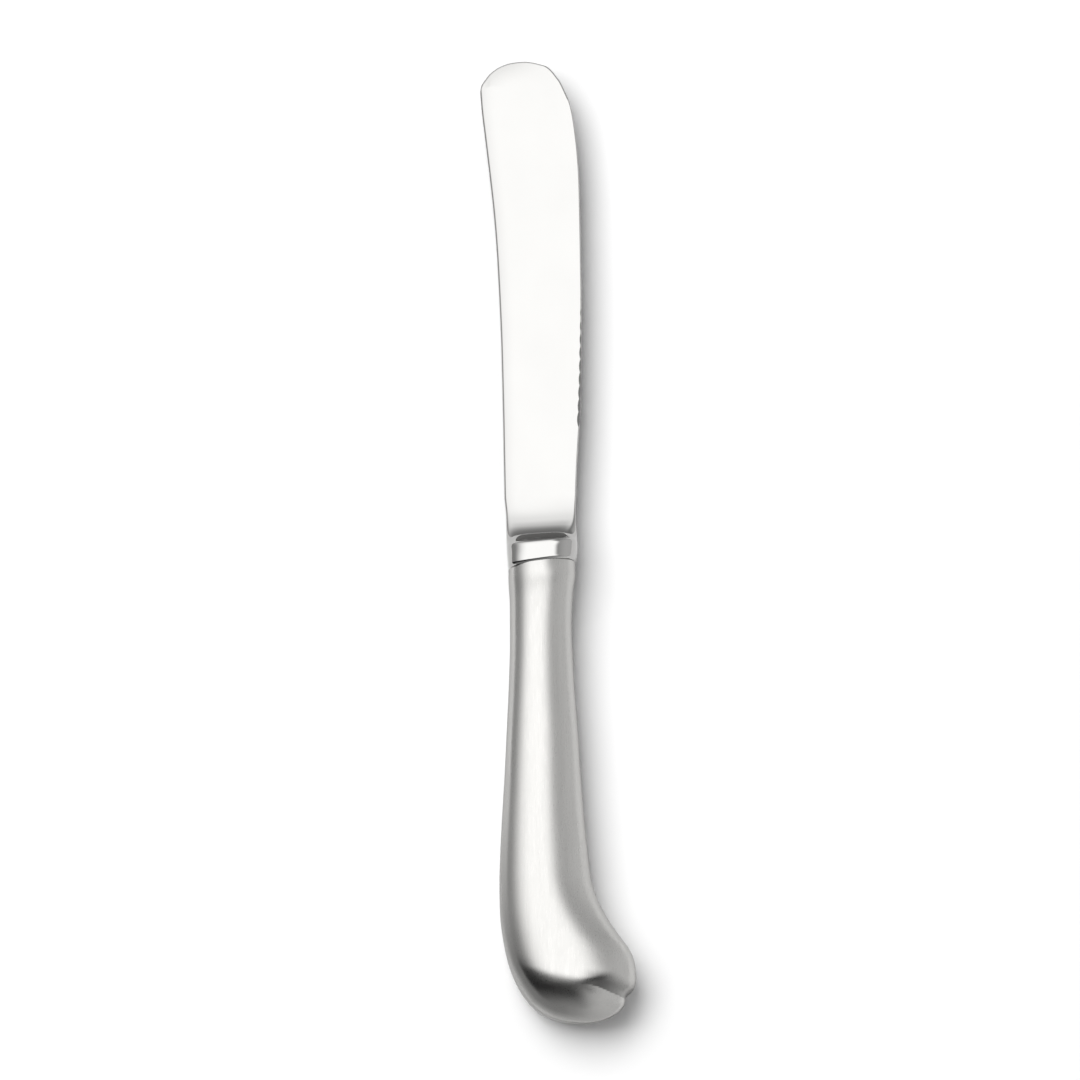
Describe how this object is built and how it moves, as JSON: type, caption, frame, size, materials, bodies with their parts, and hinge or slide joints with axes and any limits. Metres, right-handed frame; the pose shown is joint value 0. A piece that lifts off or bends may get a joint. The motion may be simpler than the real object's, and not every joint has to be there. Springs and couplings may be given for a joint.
{
  "type": "butter knife",
  "caption": "Butter knife with a swept round-tipped blade, finely scalloped edge, polished neck and a satin hollow pistol-grip handle.",
  "frame": {"origin": "centre of the bounding box in X and Y, at the lowest point of the knife as it lies on its side", "axes": "+Y from the butt to the blade's tip, +X towards the cutting edge and the beak, +Z out of the blade's front face"},
  "size_m": [0.0264, 0.1712, 0.0126],
  "materials": {
    "polished_steel": "mirror polished stainless steel with faint polishing lines",
    "satin_steel": "satin stainless steel, finely brushed along the handle",
    "braze": "thin pale line of braze, ground flush",
    "filling": "grey casting cement, hidden in the handle"
  },
  "bodies": {
    "root": {"blade": "polished_steel", "handle_front": "satin_steel", "handle_back": "satin_steel", "seam_braze": "braze", "handle_filling": "filling"}
  },
  "joints": []
}
